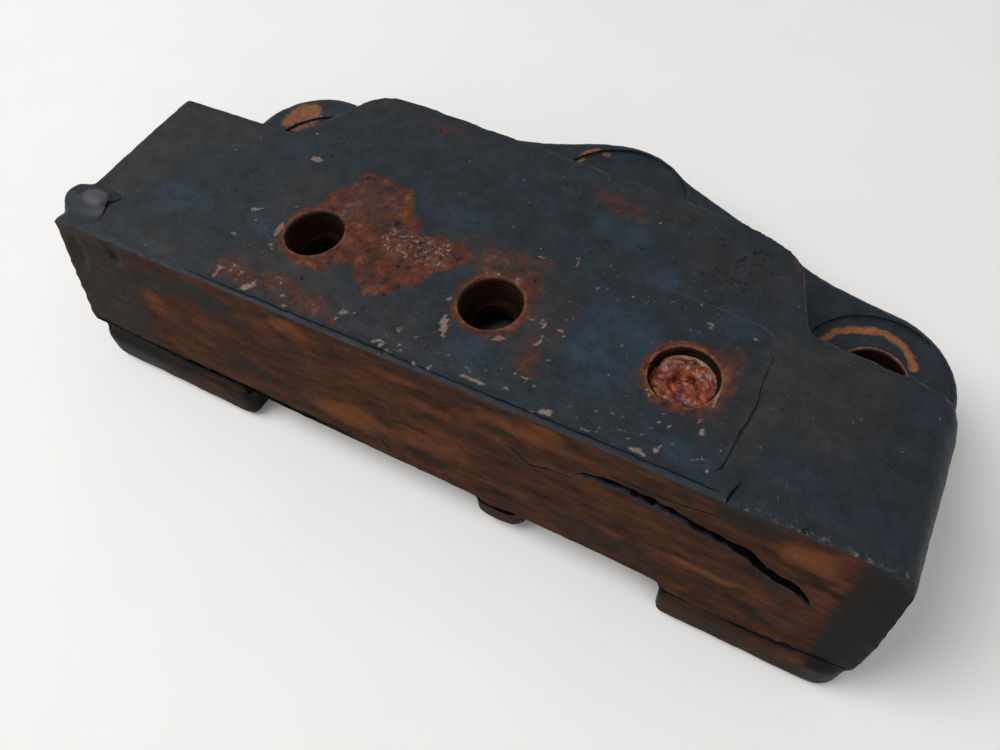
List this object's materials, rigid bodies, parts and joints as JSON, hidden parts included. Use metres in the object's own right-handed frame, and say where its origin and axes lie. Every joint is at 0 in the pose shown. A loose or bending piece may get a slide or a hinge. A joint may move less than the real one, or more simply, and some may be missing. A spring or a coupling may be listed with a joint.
{
  "type": "brake caliper housing half",
  "caption": "Hydraulic disc brake caliper half: cast housing with through-bolt ears, cylinders in a row with pistons and dust boots, a sliding brake pad below and screw ports on top.",
  "frame": {"origin": "centre of the whole part's box, on the plane of the feet (the face that meets the other caliper half)", "axes": "+X along the casting from the end with the round boss to the other end, +Y from the front wall towards the bolt ears, +Z from the pad side up to the port face"},
  "size_m": [0.3918, 0.2012, 0.083],
  "materials": {
    "cast_body": "aged dark blue paint over rusted sand-cast iron",
    "piston_steel": "ground and plated",
    "seal_rubber": "moulded nitrile",
    "boot_rubber": "moulded, dusty",
    "ring_steel": "spring steel, zinc plated",
    "phenolic": "moulded phenolic",
    "plate_steel": "black painted steel plate",
    "friction": "sintered friction material, ground",
    "pin_steel": "hardened and ground",
    "rusted_plug": "heavily rusted",
    "plug_steel": "black oxide, worn"
  },
  "bodies": {
    "housing": {"caliper_housing": "cast_body", "piston_seal_left": "seal_rubber", "piston_seal_centre": "seal_rubber", "piston_seal_right": "seal_rubber", "dust_boot_left": "boot_rubber", "dust_boot_centre": "boot_rubber", "dust_boot_right": "boot_rubber", "boot_ring_left": "ring_steel", "boot_ring_centre": "ring_steel", "boot_ring_right": "ring_steel", "guide_pin_left": "pin_steel", "guide_pin_right": "pin_steel", "pin_clip_left": "ring_steel", "pin_clip_right": "ring_steel", "port_plug": "rusted_plug", "gallery_plug": "plug_steel", "bleed_plug": "plug_steel"},
    "pad": {"pad_backing_plate": "plate_steel", "pad_lining": "friction"},
    "piston_left_body": {"piston_left": "piston_steel", "insulator_left": "phenolic"},
    "piston_centre_body": {"piston_centre": "piston_steel", "insulator_centre": "phenolic"},
    "piston_right_body": {"piston_right": "piston_steel", "insulator_right": "phenolic"}
  },
  "joints": [
    {"name": "pad_slide", "type": "slide", "parent": "housing", "child": "pad", "axis": [0, 0, -1], "range_m": [0, 0.0095]},
    {"name": "piston_left_slide", "type": "slide", "parent": "housing", "child": "piston_left_body", "axis": [0, 0, -1], "range_m": [0, 0.0095], "deforming": ["dust_boot_left"]},
    {"name": "piston_centre_slide", "type": "slide", "parent": "housing", "child": "piston_centre_body", "axis": [0, 0, -1], "range_m": [0, 0.0095], "deforming": ["dust_boot_centre"]},
    {"name": "piston_right_slide", "type": "slide", "parent": "housing", "child": "piston_right_body", "axis": [0, 0, -1], "range_m": [0, 0.0095], "deforming": ["dust_boot_right"]}
  ],
  "couplings": [
    {"joint": "piston_left_slide", "follows": "pad_slide", "ratio": 1},
    {"joint": "piston_centre_slide", "follows": "pad_slide", "ratio": 1},
    {"joint": "piston_right_slide", "follows": "pad_slide", "ratio": 1}
  ]
}
